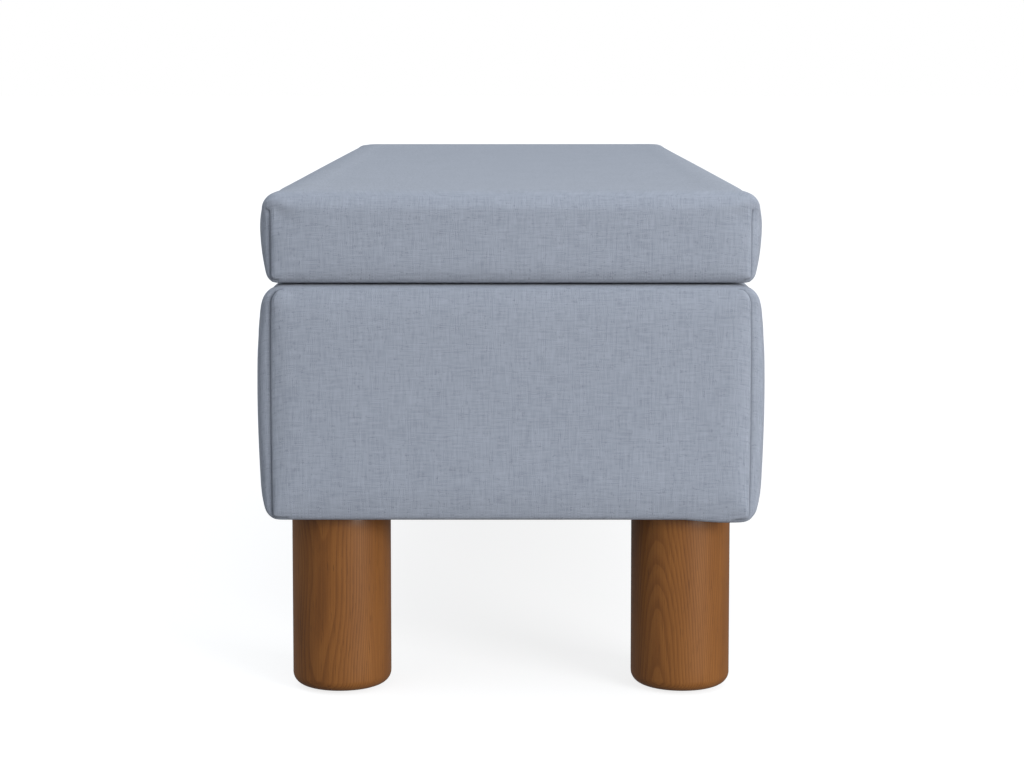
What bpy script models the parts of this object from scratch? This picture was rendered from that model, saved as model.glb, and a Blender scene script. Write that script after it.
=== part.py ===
"""Upholstered storage bench with a hinged lid on two folding stays.

The origin is on the floor, under the middle of the box. X runs along the bench, the hinges are
on +Y and +Z is up. Moving pieces hang from empties that stand on their joints' axes.
"""

import math

import bmesh
import bpy
from mathutils import Matrix, Vector

# Overall sizes, in metres
LENGTH = 1.240
WIDTH = 0.454
HEIGHT = 0.457

# Heights of the box's underside, its rim and the lid's underside
UNDERSIDE = 0.1650
RIM = 0.3740
LID_UNDERSIDE = 0.3755

# Stock
GAP = 0.0003
FABRIC = 0.0015
SLACK = 0.0006
PANEL = 0.015
BOARD = 0.012

# Box frame: outer half sizes of the plywood, and of the space inside it
FRAME_X = 0.606
FRAME_Y = 0.205
INNER_X = FRAME_X - PANEL
INNER_Y = FRAME_Y - PANEL
WALL_LOW = UNDERSIDE + FABRIC + GAP
WALL_HIGH = RIM - FABRIC - GAP
BOTTOM_HIGH = WALL_LOW + BOARD
BLOCK = 0.080
BLOCK_HIGH = BOTTOM_HIGH + GAP + 0.022
FLOOR_LOW = BLOCK_HIGH + 0.0025
FLOOR_HIGH = FLOOR_LOW + 0.005
FOLD = 0.024
FOLD_LOW = RIM - 0.030

# How the covers swell between their edges
SIDE_EDGE = 0.2140
SIDE_BELLY = WIDTH / 2 - SIDE_EDGE
END_BELLY = 0.002
BOX_CORNER = 0.014
LID_CORNER = 0.018
LEVELS = 8

# Lid
LID_HALF_Y = 0.2250
LID_BOARD_X = 0.6135
LID_BOARD_Y = 0.2115
LID_BOARD_LOW = LID_UNDERSIDE + FABRIC + GAP
LID_BOARD_HIGH = LID_BOARD_LOW + BOARD
LID_FOLD = 0.030

# Legs and what holds them
LEG_RADIUS = 0.045
LEG_X = 0.550
LEG_Y = 0.155
LEG_LOW = 0.0025
LEG_HIGH = UNDERSIDE - GAP
FOOT_ROUND = 0.013
BOLT_RADIUS = 0.004
BOLT_IN_LEG = 0.040
GLIDE_RADIUS = 0.020
NAIL_RADIUS = 0.0015
NAIL_LENGTH = 0.014

# Butt hinges: the axis lies in the valley behind the rim
HINGE_Y = 0.222
HINGE_Z = (RIM + LID_UNDERSIDE) / 2
HINGE_PLACES = {"left": -0.42, "middle": 0.0, "right": 0.42}
LEAF_LENGTH = 0.076
LEAF_LOW_Y = 0.1905
LEAF_HIGH_Y = 0.2172
KNUCKLE_RADIUS = 0.004
PIN_RADIUS = 0.002

# Folding stays: a rhombus with its corners at the lid hinge, both brackets and the elbow
ARM = 0.165
ARM_WIDTH = 0.016
STEEL = 0.0025
LID_PIVOT_DROP = 0.012
BASE_PIVOT_DROP = 0.045
STUD_RADIUS = 0.003
HEAD_RADIUS = 0.005
HEAD = 0.0015
LOWER_ARM_X = 0.5843
UPPER_ARM_X = 0.5810
BASE_BRACKET_X = 0.5874
LID_BRACKET_X = 0.5785
PLATE = 0.002

SIDES = {"left": -1, "right": 1}


def finish_of(name, colour, roughness, metallic=0.0):
    material = bpy.data.materials.new(name)
    material.use_nodes = True
    shader = material.node_tree.nodes["Principled BSDF"]
    shader.inputs["Base Color"].default_value = (*colour, 1)
    shader.inputs["Roughness"].default_value = roughness
    shader.inputs["Metallic"].default_value = metallic
    material.diffuse_color = (*colour, 1)
    return material


def world_place(pivot):
    return pivot.location + (world_place(pivot.parent) if pivot.parent else Vector())


def add_object(name, mesh, finish=None, parent=None):
    """A named object for mesh. It keeps its place in the world when it hangs from an empty."""
    piece = bpy.data.objects.new(name, mesh)
    bpy.context.scene.collection.objects.link(piece)
    if finish:
        mesh.materials.append(finish)
    if parent:
        piece.parent = parent
        piece.matrix_parent_inverse = Matrix.Translation(world_place(parent)).inverted()
    return piece


def empty(name, place, parent=None):
    """An empty on a joint's axis, at a place in the world."""
    pivot = add_object(name, None)
    pivot.parent = parent
    pivot.location = Vector(place) - (world_place(parent) if parent else Vector())
    return pivot


def to_mesh(name, shape, smooth=False):
    bmesh.ops.recalc_face_normals(shape, faces=shape.faces)
    mesh = bpy.data.meshes.new(name)
    shape.to_mesh(mesh)
    shape.free()
    if smooth:
        mesh.shade_smooth()
        mesh.set_sharp_from_angle(angle=math.radians(40))
    return mesh


def block(name, low, high, finish=None, parent=None):
    shape = bmesh.new()
    size = [b - a for a, b in zip(low, high)]
    middle = [(a + b) / 2 for a, b in zip(low, high)]
    place = Matrix.Translation(middle) @ Matrix.Diagonal((*size, 1))
    bmesh.ops.create_cube(shape, size=1, matrix=place)
    return add_object(name, to_mesh(name, shape), finish, parent)


def extruded(name, outline, way, finish=None, parent=None):
    """A flat outline, as 3-D points, drawn out along the vector way."""
    shape = bmesh.new()
    face = shape.faces.new([shape.verts.new(point) for point in outline])
    drawn = bmesh.ops.extrude_face_region(shape, geom=[face])["geom"]
    moved = [part for part in drawn if isinstance(part, bmesh.types.BMVert)]
    bmesh.ops.translate(shape, verts=moved, vec=way)
    return add_object(name, to_mesh(name, shape), finish, parent)


def turned_mesh(name, profile, segments):
    """A solid turned about Z from (radius, height) points, whose two ends lie on the axis."""
    shape = bmesh.new()
    points = [shape.verts.new((radius, 0, height)) for radius, height in profile]
    edges = [shape.edges.new(pair) for pair in zip(points, points[1:])]
    bmesh.ops.spin(
        shape, geom=points + edges, cent=(0, 0, 0), axis=(0, 0, 1),
        angle=math.tau, steps=segments, use_merge=True,
    )
    bmesh.ops.remove_doubles(shape, verts=shape.verts, dist=0.00001)
    return to_mesh(name, shape, smooth=True)


def rod(name, start, way, radius, finish=None, parent=None, segments=16):
    """A round bar from start, as long as the vector way."""
    shape = bmesh.new()
    turn = Vector(way).to_track_quat("Z", "Y").to_matrix().to_4x4()
    middle = Vector(start) + Vector(way) / 2
    bmesh.ops.create_cone(
        shape, cap_ends=True, segments=segments, radius1=radius, radius2=radius,
        depth=Vector(way).length, matrix=Matrix.Translation(middle) @ turn,
    )
    return add_object(name, to_mesh(name, shape, smooth=True), finish, parent)


def combine(piece, tool, operation):
    """Unites a piece with a tool, or cuts the tool out of it. The tool isn't a piece itself."""
    tool.hide_render = True
    tool.display_type = "WIRE"
    change = piece.modifiers.new(tool.name, "BOOLEAN")
    change.operation = operation
    change.solver = "EXACT"
    change.object = tool


def drill(piece, start, way, radius, segments=16):
    tool = rod(f"{piece.name}.drill", start, way, radius, segments=segments)
    combine(piece, tool, "DIFFERENCE")


def loop(half_x, half_y, corner, height, turns=4):
    """The points of a rounded rectangle at a height, the same number whatever its size."""
    points = []
    for quarter, (sign_x, sign_y) in enumerate(((1, 1), (-1, 1), (-1, -1), (1, -1))):
        for step in range(turns + 1):
            angle = (quarter + step / turns) * math.pi / 2
            x = sign_x * (half_x - corner) + corner * math.cos(angle)
            y = sign_y * (half_y - corner) + corner * math.sin(angle)
            points.append((x, y, height))
    return points


def lofted(name, loops, finish, closed=False, parent=None):
    """Skins the loops in order. A closed loft joins the last loop to the first one."""
    shape = bmesh.new()
    rings = [[shape.verts.new(point) for point in points] for points in loops]
    pairs = list(zip(rings, rings[1:]))
    if closed:
        pairs.append((rings[-1], rings[0]))
    else:
        shape.faces.new(rings[0])
        shape.faces.new(rings[-1])
    for one, other in pairs:
        for i, vertex in enumerate(one):
            j = (i + 1) % len(one)
            shape.faces.new((vertex, one[j], other[j], other[i]))
    return add_object(name, to_mesh(name, shape, smooth=True), finish, parent)


def swell(height):
    """How far the box cover has swollen at a height: 0 at its edges, near 1 between them."""
    middle = (UNDERSIDE + RIM) / 2
    return 1 - ((height - middle) / (RIM - middle)) ** 4


def box_side(height):
    return SIDE_EDGE + SIDE_BELLY * swell(height)


def box_end(height):
    return LENGTH / 2 - END_BELLY + END_BELLY * swell(height)


def heights(low, high):
    return [low + (high - low) * i / LEVELS for i in range(LEVELS + 1)]


def lid_profile(depth):
    """(inset, height) points up the lid's side and over its top, moved in by depth."""
    outline = [
        Vector(point)
        for point in (
            (0.0113, LID_UNDERSIDE), (0.0050, 0.381), (0.0010, 0.390), (0.0, 0.402),
            (0.0, 0.426), (0.0020, 0.437), (0.0080, 0.447), (0.0200, 0.4525),
            (0.0500, 0.4558), (0.1000, HEIGHT),
        )
    ]
    moved = []
    for i, point in enumerate(outline):
        along = outline[min(i + 1, len(outline) - 1)] - outline[max(i - 1, 0)]
        inward = Vector((along.y, -along.x)).normalized()
        moved.append(point + inward * depth)
    return moved


def lid_loop(inset, height, depth=0.0):
    """A loop round the lid. The ends swell less than the sides."""
    end_inset = inset if height > 0.44 else 0.4 * inset + 0.6 * depth
    return loop(LENGTH / 2 - end_inset, LID_HALF_Y - inset, LID_CORNER - depth, height)


def make_frame(plywood):
    wall = (WALL_LOW, WALL_HIGH)
    for name, side in (("front", -1), ("rear", 1)):
        y = sorted((side * INNER_Y, side * FRAME_Y))
        x = INNER_X - GAP
        block(f"{name}_panel", (-x, y[0], wall[0]), (x, y[1], wall[1]), plywood)
    for name, side in SIDES.items():
        x = sorted((side * INNER_X, side * FRAME_X))
        low, high = (x[0], -FRAME_Y, wall[0]), (x[1], FRAME_Y, wall[1])
        block(f"{name}_end_panel", low, high, plywood)
    x, y = INNER_X - GAP, INNER_Y - GAP
    bottom = block("bottom_panel", (-x, -y, WALL_LOW), (x, y, BOTTOM_HIGH), plywood)
    for leg_x, leg_y, _ in leg_places():
        drill(bottom, (leg_x, leg_y, WALL_LOW - 0.01), (0, 0, 0.04), BOLT_RADIUS + 0.001)
    floor = (-x, -y, FLOOR_LOW), (x, y, FLOOR_HIGH)
    block("storage_floor", *floor, plywood)


def leg_places():
    for end, x in (("left", -LEG_X), ("right", LEG_X)):
        for side, y in (("front", -LEG_Y), ("rear", LEG_Y)):
            yield x, y, f"{side}_{end}"


def make_blocks(timber):
    """Corner blocks that take the leg bolts, and two battens that carry the floor."""
    low, high = BOTTOM_HIGH + GAP, BLOCK_HIGH
    for leg_x, leg_y, name in leg_places():
        x = sorted((math.copysign(INNER_X - GAP, leg_x), math.copysign(INNER_X - BLOCK, leg_x)))
        y = sorted((math.copysign(INNER_Y - GAP, leg_y), math.copysign(INNER_Y - BLOCK, leg_y)))
        piece = block(f"corner_block_{name}", (x[0], y[0], low), (x[1], y[1], high), timber)
        drill(piece, (leg_x, leg_y, low - 0.01), (0, 0, 0.05), BOLT_RADIUS + 0.0022)
    y, high = INNER_Y - GAP, FLOOR_LOW - GAP
    for name, side in SIDES.items():
        x = side * LENGTH / 6
        block(f"floor_batten_{name}", (x - 0.02, -y, low), (x + 0.02, y, high), timber)


def leg_profile():
    """(radius, height) points of a leg, from the nail hole round the foot to the bolt hole."""
    nail, bolt = NAIL_RADIUS + GAP, BOLT_RADIUS + GAP
    centre = LEG_RADIUS - FOOT_ROUND, LEG_LOW + FOOT_ROUND
    steps = 5
    foot = []
    for i in range(steps + 1):
        angle = -math.pi / 2 + i / steps * math.pi / 2
        radius = centre[0] + FOOT_ROUND * math.cos(angle)
        foot.append((radius, centre[1] + FOOT_ROUND * math.sin(angle)))
    nail_top = LEG_LOW + NAIL_LENGTH + GAP
    bolt_low = LEG_HIGH - BOLT_IN_LEG - GAP
    edge = 0.001
    return [
        (0, nail_top), (nail, nail_top), (nail, LEG_LOW), *foot,
        (LEG_RADIUS, LEG_HIGH - edge), (LEG_RADIUS - edge, LEG_HIGH),
        (bolt, LEG_HIGH), (bolt, bolt_low), (0, bolt_low),
    ]


def make_legs(hardwood, steel, nylon):
    """Each leg is turned, and has a bolt up into a tee nut and a glide nailed to its foot."""
    leg = turned_mesh("leg", leg_profile(), 32)
    leg.materials.append(hardwood)
    bolt_low, bolt_high = LEG_HIGH - BOLT_IN_LEG, BLOCK_HIGH
    tip = 0.001
    bolt = turned_mesh("hanger_bolt", [
        (0, bolt_low), (BOLT_RADIUS - tip, bolt_low), (BOLT_RADIUS, bolt_low + tip),
        (BOLT_RADIUS, bolt_high - tip), (BOLT_RADIUS - tip, bolt_high), (0, bolt_high),
    ], 16)
    bolt.materials.append(steel)
    nut_low, flange = BLOCK_HIGH - 0.012, BLOCK_HIGH + GAP
    nut_top = flange + 0.0015
    bore, barrel, flange_radius = BOLT_RADIUS + GAP, BOLT_RADIUS + 0.0015, 0.012
    nut = turned_mesh("tee_nut", [
        (0, nut_top), (flange_radius, nut_top), (flange_radius, flange), (barrel, flange),
        (barrel, nut_low), (bore, nut_low), (bore, bolt_high + GAP), (0, bolt_high + GAP),
    ], 16)
    nut.materials.append(steel)
    dome = 0.0007
    glide = turned_mesh("glide", [
        (0, 0), (GLIDE_RADIUS - dome, 0), (GLIDE_RADIUS, dome),
        (GLIDE_RADIUS, LEG_LOW - GAP), (NAIL_RADIUS, LEG_LOW - GAP),
        (NAIL_RADIUS, LEG_LOW + NAIL_LENGTH - GAP), (0, LEG_LOW + NAIL_LENGTH),
    ], 20)
    glide.materials.append(nylon)
    kinds = {"leg": leg, "hanger_bolt": bolt, "tee_nut": nut, "glide": glide}
    for x, y, name in leg_places():
        for kind, mesh in kinds.items():
            piece = add_object(f"{kind}_{name}", mesh)
            piece.location = (x, y, 0)


def make_box_foam(foam):
    """A pad on each outer face of the frame, crowned as the cover over it is."""
    levels = heights(WALL_LOW, WALL_HIGH)
    for name, side in (("front", -1), ("rear", 1)):
        crown = [(z, box_side(z) - FABRIC - SLACK) for z in levels]
        outline = [(-FRAME_X, side * y, z) for z, y in crown]
        back = side * (FRAME_Y + GAP)
        outline += [(-FRAME_X, back, levels[-1]), (-FRAME_X, back, levels[0])]
        extruded(f"{name}_foam", outline, (2 * FRAME_X, 0, 0), foam)
    half = FRAME_Y - 0.003
    for name, side in SIDES.items():
        crown = [(z, box_end(z) - FABRIC - SLACK) for z in levels]
        outline = [(side * x, -half, z) for z, x in crown]
        back = side * (FRAME_X + GAP)
        outline += [(back, -half, levels[-1]), (back, -half, levels[0])]
        extruded(f"{name}_end_foam", outline, (0, 2 * half, 0), foam)


def make_box_covers(linen, lining, dust):
    """The outer cover is a skin that folds under the box and over its rim into the storage."""
    edge, hem = 0.002, 0.002
    outer = [loop(box_end(z), box_side(z), BOX_CORNER, z) for z in heights(UNDERSIDE, RIM - edge)]
    inner = [
        loop(box_end(z) - FABRIC, box_side(z) - FABRIC, BOX_CORNER - FABRIC, z)
        for z in heights(UNDERSIDE + FABRIC, RIM - FABRIC)
    ]
    under = FRAME_X - FOLD, FRAME_Y - FOLD, hem
    skin = INNER_X - GAP, INNER_Y - GAP
    inside = skin[0] - FABRIC, skin[1] - FABRIC
    rim_edge = loop(box_end(RIM) - edge, box_side(RIM) - edge, BOX_CORNER - edge, RIM)
    cover = lofted("box_cover", [
        loop(*under, UNDERSIDE), *outer, rim_edge, loop(*inside, hem, RIM),
        loop(*inside, hem, FOLD_LOW), loop(*skin, hem, FOLD_LOW),
        loop(*skin, hem, RIM - FABRIC), *reversed(inner), loop(*under, UNDERSIDE + FABRIC),
    ], linen, closed=True)
    for name, x in HINGE_PLACES.items():
        half = LEAF_LENGTH / 2 + 0.001
        low, high = (x - half, LEAF_LOW_Y - 0.001, RIM - FABRIC - GAP), (x + half, 0.24, RIM + 0.01)
        combine(cover, block(f"box_cover.notch_{name}", low, high), "DIFFERENCE")

    cloth = 0.001
    tray_low = FLOOR_HIGH + GAP
    inside = skin[0] - cloth, skin[1] - cloth
    lofted("storage_lining", [
        loop(*skin, hem, tray_low), loop(*skin, hem, FOLD_LOW - GAP),
        loop(*inside, hem, FOLD_LOW - GAP), loop(*inside, hem, tray_low + cloth),
    ], lining)
    x, y = under[0] - GAP, under[1] - GAP
    sides = UNDERSIDE + FABRIC - cloth, UNDERSIDE + FABRIC
    sheet = lofted("dust_cover", [loop(x, y, hem, z) for z in sides], dust)
    for leg_x, leg_y, _ in leg_places():
        drill(sheet, (leg_x, leg_y, UNDERSIDE - 0.01), (0, 0, 0.02), BOLT_RADIUS + 0.001)


def make_bumpers(rubber):
    """Two thin pads on the front rim, which the closed lid comes down on."""
    for name, side in SIDES.items():
        start = (side * 0.45, -(INNER_Y + PANEL / 2), RIM + GAP)
        rod(f"bumper_{name}", start, (0, 0, 0.0009), 0.006, rubber)


def make_lid(plywood, foam, linen, lining, axis):
    ends = LID_BOARD_LOW, LID_BOARD_HIGH
    board = [loop(LID_BOARD_X, LID_BOARD_Y, LID_CORNER, z) for z in ends]
    lofted("lid_board", board, plywood, parent=axis)

    depth = FABRIC + SLACK
    foam_low = LID_BOARD_HIGH + GAP
    crown = [point for point in lid_profile(depth) if point.y > foam_low + 0.002]
    base = Vector((crown[0].x + 0.001, foam_low))
    loops = [lid_loop(inset, z, depth) for inset, z in (base, *crown)]
    lofted("lid_foam", loops, foam, parent=axis)

    fold_x, fold_y, hem = LENGTH / 2 - LID_FOLD, LID_HALF_Y - LID_FOLD, 0.004
    outer = [lid_loop(inset, z) for inset, z in lid_profile(0)]
    inner = [lid_loop(inset, max(z, LID_UNDERSIDE + FABRIC), FABRIC) for inset, z in lid_profile(FABRIC)]
    cover = lofted("lid_cover", [
        *reversed(outer), loop(fold_x, fold_y, hem, LID_UNDERSIDE),
        loop(fold_x, fold_y, hem, LID_UNDERSIDE + FABRIC), *inner,
    ], linen, parent=axis)
    for name, x in HINGE_PLACES.items():
        half = LEAF_LENGTH / 2 + 0.001
        low = (x - half, LEAF_LOW_Y - 0.001, LID_UNDERSIDE - 0.01)
        high = (x + half, 0.24, LID_BOARD_LOW)
        combine(cover, block(f"lid_cover.notch_{name}", low, high), "DIFFERENCE")

    x, y, low = fold_x - GAP, LEAF_LOW_Y - 0.002, LID_UNDERSIDE + 0.0003
    block("lid_lining", (-x, -y, low), (x, y, LID_UNDERSIDE + FABRIC), lining, axis)


def make_leaf(name, x, low, high, knuckles, steel, parent=None):
    """A leaf with a tab and a bored knuckle over each span of knuckles."""
    half, edge = LEAF_LENGTH / 2, LEAF_HIGH_Y
    tab = HINGE_Y - 0.7 * KNUCKLE_RADIUS
    outline = [(x - half, LEAF_LOW_Y, low), (x - half, edge, low)]
    for start, end in knuckles:
        left, right = x + start + 2 * GAP, x + end - 2 * GAP
        outline += [(left, edge, low), (left, tab, low), (right, tab, low), (right, edge, low)]
    outline += [(x + half, edge, low), (x + half, LEAF_LOW_Y, low)]
    leaf = extruded(name, outline, (0, 0, high - low), steel, parent)
    for i, (start, end) in enumerate(knuckles):
        place, way = (x + start, HINGE_Y, HINGE_Z), (end - start, 0, 0)
        knuckle = rod(f"{name}.knuckle_{i}", place, way, KNUCKLE_RADIUS, segments=20)
        combine(leaf, knuckle, "UNION")
    drill(leaf, (x - 0.05, HINGE_Y, HINGE_Z), (0.1, 0, 0), PIN_RADIUS + GAP)


def make_hinges(steel, axis):
    half, middle, run = LEAF_LENGTH / 2, LEAF_LENGTH / 6, 0.0004
    outer = [(-half, -middle - run), (middle + run, half)]
    for name, x in HINGE_PLACES.items():
        make_leaf(f"hinge_{name}_box_leaf", x, RIM - FABRIC, RIM, outer, steel)
        low, high = LID_UNDERSIDE, LID_UNDERSIDE + FABRIC
        make_leaf(f"hinge_{name}_lid_leaf", x, low, high, [(-middle, middle)], steel, axis)
        start = (x - half - 0.0005, HINGE_Y, HINGE_Z)
        rod(f"hinge_{name}_pin", start, (LEAF_LENGTH + 0.001, 0, 0), PIN_RADIUS, steel)


def stay_corners():
    """The rhombus's corners in the (y, z) plane: base pivot, lid pivot and elbow."""
    hinge = Vector((HINGE_Y, HINGE_Z))
    to_base = Vector((-math.sqrt(ARM**2 - BASE_PIVOT_DROP**2), -BASE_PIVOT_DROP))
    to_lid = Vector((-math.sqrt(ARM**2 - LID_PIVOT_DROP**2), -LID_PIVOT_DROP))
    return hinge + to_base, hinge + to_lid, hinge + to_base + to_lid


def strip(name, ends, x, steel, parent):
    """A flat bar with round ends, between two (y, z) points."""
    one, other = ends
    along = (other - one).normalized()
    across = Vector((-along.y, along.x))
    outline, turns = [], 8
    for centre, start in ((one, math.pi / 2), (other, -math.pi / 2)):
        for i in range(turns + 1):
            angle = start + math.pi * i / turns
            edge = along * math.cos(angle) + across * math.sin(angle)
            point = centre + edge * ARM_WIDTH / 2
            outline.append((x[0], point.x, point.y))
    return extruded(name, outline, (x[1] - x[0], 0, 0), steel, parent)


def stud(piece, place, start, length, side):
    """A riveted stud on a piece, running along X from start, with a head past its length."""
    way = math.copysign(1, length)
    shank = side * (length + way * HEAD / 2)
    tool = rod(f"{piece.name}.stud", (side * start, *place), (shank, 0, 0), STUD_RADIUS)
    combine(piece, tool, "UNION")
    face, head = side * (start + length), side * way * HEAD
    tool = rod(f"{piece.name}.head", (face, *place), (head, 0, 0), HEAD_RADIUS)
    combine(piece, tool, "UNION")


def make_stay(name, side, steel, lid_axis):
    base_pivot, lid_pivot, elbow = stay_corners()
    bite = 0.0005

    plate = sorted((side * BASE_BRACKET_X, side * (BASE_BRACKET_X + PLATE)))
    low = (plate[0], base_pivot.x - 0.02, base_pivot.y - 0.03)
    high = (plate[1], base_pivot.x + 0.02, base_pivot.y + 0.012)
    bracket = block(f"stay_{name}_box_bracket", low, high, steel)
    reach = BASE_BRACKET_X + bite - (LOWER_ARM_X - 0.0005)
    stud(bracket, base_pivot, BASE_BRACKET_X + bite, -reach, side)

    wall = sorted((side * LID_BRACKET_X, side * (LID_BRACKET_X + PLATE)))
    top, foot = LID_UNDERSIDE - GAP, lid_pivot.y - 0.009
    low, high = (wall[0], lid_pivot.x - 0.018, foot), (wall[1], lid_pivot.x + 0.018, top)
    lid_bracket = block(f"stay_{name}_lid_bracket", low, high, steel, lid_axis)
    flange = sorted((side * (LID_BRACKET_X - 0.0225), side * (LID_BRACKET_X + bite)))
    low = (flange[0], lid_pivot.x - 0.018, top - PLATE)
    high = (flange[1], lid_pivot.x + 0.018, top)
    tool = block(f"stay_{name}_lid_bracket.flange", low, high)
    combine(lid_bracket, tool, "UNION")
    start = LID_BRACKET_X + PLATE - bite
    stud(lid_bracket, lid_pivot, start, UPPER_ARM_X + STEEL + 0.0005 - start, side)

    lower_axis = empty(f"stay_{name}_lower_axis", (side * LOWER_ARM_X, *base_pivot))
    x = side * LOWER_ARM_X, side * (LOWER_ARM_X + STEEL)
    lower = strip(f"stay_{name}_lower_arm", (base_pivot, elbow), x, steel, lower_axis)
    through = 0.02
    hole = (side * (LOWER_ARM_X - through / 2), *base_pivot)
    drill(lower, hole, (side * through, 0, 0), STUD_RADIUS + GAP)
    start = LOWER_ARM_X + bite
    stud(lower, elbow, start, UPPER_ARM_X - 0.0005 - start, side)

    upper_axis = empty(f"stay_{name}_upper_axis", (side * UPPER_ARM_X, *lid_pivot), lid_axis)
    x = side * UPPER_ARM_X, side * (UPPER_ARM_X + STEEL)
    upper = strip(f"stay_{name}_upper_arm", (lid_pivot, elbow), x, steel, upper_axis)
    for place, clearance in ((lid_pivot, GAP), (elbow, 2 * GAP)):
        hole = (side * (UPPER_ARM_X - through / 2), *place)
        drill(upper, hole, (side * through, 0, 0), STUD_RADIUS + clearance)


def main():
    for old in list(bpy.data.objects):
        bpy.data.objects.remove(old)
    linen = finish_of("linen", (0.31, 0.35, 0.43), 0.9)
    foam = finish_of("foam", (0.80, 0.76, 0.60), 0.95)
    plywood = finish_of("plywood", (0.55, 0.40, 0.24), 0.7)
    timber = finish_of("pine", (0.62, 0.46, 0.28), 0.7)
    hardwood = finish_of("walnut_stain", (0.20, 0.095, 0.035), 0.4)
    lining = finish_of("lining_cloth", (0.10, 0.10, 0.11), 0.95)
    steel = finish_of("zinc_steel", (0.60, 0.60, 0.62), 0.35, 1.0)
    rubber = finish_of("rubber", (0.03, 0.03, 0.03), 0.8)
    nylon = finish_of("nylon", (0.08, 0.07, 0.06), 0.5)

    make_frame(plywood)
    make_blocks(timber)
    make_legs(hardwood, steel, nylon)
    make_box_foam(foam)
    make_box_covers(linen, lining, lining)
    make_bumpers(rubber)
    lid_axis = empty("lid_axis", (0, HINGE_Y, HINGE_Z))
    make_lid(plywood, foam, linen, lining, lid_axis)
    make_hinges(steel, lid_axis)
    for name, side in SIDES.items():
        make_stay(name, side, steel, lid_axis)


main()
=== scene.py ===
# %% [markdown]
# # An upholstered bench with storage under a hinged lid
#
# The bench is a plywood box covered in blue-grey linen, on four turned wooden legs. Its lid is
# a padded board that swings up on three butt hinges and leans back on two folding stays. The
# hard parts arrive as a finished frame of named solids in metres, and each cell below either
# adds a finish to one of those solids or models a softer, finer piece that stands for it.

# %% Load the frame
import math
import random

import bmesh
import bpy
import numpy as np
from mathutils import Matrix, Vector


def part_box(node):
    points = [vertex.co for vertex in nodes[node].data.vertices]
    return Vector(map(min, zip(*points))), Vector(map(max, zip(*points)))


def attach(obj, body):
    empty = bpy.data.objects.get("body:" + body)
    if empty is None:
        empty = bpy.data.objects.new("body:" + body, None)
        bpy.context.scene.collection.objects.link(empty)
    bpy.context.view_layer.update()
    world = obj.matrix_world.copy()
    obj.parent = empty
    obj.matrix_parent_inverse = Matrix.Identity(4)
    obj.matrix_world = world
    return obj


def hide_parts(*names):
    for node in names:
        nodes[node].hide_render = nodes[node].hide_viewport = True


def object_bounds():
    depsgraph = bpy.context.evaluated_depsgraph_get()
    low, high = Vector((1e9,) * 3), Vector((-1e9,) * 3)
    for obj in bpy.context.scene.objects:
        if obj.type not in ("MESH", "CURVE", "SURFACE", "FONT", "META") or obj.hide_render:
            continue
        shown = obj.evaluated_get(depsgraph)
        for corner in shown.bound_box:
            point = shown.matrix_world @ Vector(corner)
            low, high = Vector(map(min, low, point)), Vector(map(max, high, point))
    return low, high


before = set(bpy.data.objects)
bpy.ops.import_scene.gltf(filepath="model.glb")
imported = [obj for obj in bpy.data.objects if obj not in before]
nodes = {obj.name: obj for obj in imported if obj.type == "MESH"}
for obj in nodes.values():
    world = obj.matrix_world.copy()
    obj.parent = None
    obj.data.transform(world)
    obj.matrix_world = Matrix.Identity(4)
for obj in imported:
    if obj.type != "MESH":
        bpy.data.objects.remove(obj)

cad_low, cad_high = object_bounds()
HALF_LENGTH = cad_high[0]
TOP = cad_high[2]
MM = 0.001
print("solids:", len(nodes), "box:", [round(v, 4) for v in (*cad_low, *cad_high)])

# %% [markdown]
# ## The camera and the studio
#
# The camera comes first, so that every later cell can be judged by eye. The bench is seen
# square on from its short end, from a little above the seat, through a long lens. The lens is
# shifted down a little, as an architect's camera does, so that the legs stay nearly upright.

# %% Camera
EYE = Vector((2.6402, 0.0009, 0.5663))
TILT_DOWN = math.radians(4.573)
bpy.ops.object.select_all(action="DESELECT")
bpy.ops.object.camera_add(location=EYE, rotation=(math.pi / 2 - TILT_DOWN, 0, math.pi / 2))
camera = bpy.context.object
camera.name = "studio_camera"
camera.data.lens = 81.3
camera.data.sensor_width = 36.0
camera.data.shift_y = -0.13
camera.data.clip_end = 100.0
bpy.context.scene.camera = camera
print("camera at", [round(v, 3) for v in camera.location])

# %% [markdown]
# A pale studio is a white background and a white floor that runs far past the picture. The
# camera sees the background plain white, and the floor glows, which keeps its shadows faint.
# The light itself has a shape: it is strongest overhead, weaker from the sides and weakest
# from below. One large soft lamp stands in front on the hinge side. So the far side of each
# leg, and all that faces down, lies in shade. "Standard" shows colours as they are, without a
# film look.

# %% Studio
FLOOR_SIZE = 80.0
GROUND = (0.15, 0.15, 0.155, 1)
HORIZON = (0.46, 0.475, 0.495, 1)
ZENITH = (0.86, 0.92, 0.99, 1)
PAPER = {
    "Base Color": (0.36, 0.36, 0.36, 1), "Roughness": 1.0, "Specular IOR Level": 0.0,
    "Emission Color": (1, 1, 1, 1), "Emission Strength": 0.80,
}
scene = bpy.context.scene
scene.view_settings.view_transform = "Standard"
world = bpy.data.worlds.new("studio_sky")
world.use_nodes = True
scene.world = world
sky = world.node_tree
way = sky.nodes.new("ShaderNodeTexCoord")
split = sky.nodes.new("ShaderNodeSeparateXYZ")
ramp = sky.nodes.new("ShaderNodeValToRGB")
ramp.color_ramp.elements[0].position = 0.47
ramp.color_ramp.elements[0].color = GROUND
ramp.color_ramp.elements[1].position = 0.50
ramp.color_ramp.elements[1].color = HORIZON
ramp.color_ramp.elements.new(1.0).color = ZENITH
half = sky.nodes.new("ShaderNodeMapRange")
half.inputs["From Min"].default_value = -1.0
seen = sky.nodes.new("ShaderNodeLightPath")
paper_white = sky.nodes.new("ShaderNodeMix")
paper_white.data_type = "RGBA"
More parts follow.
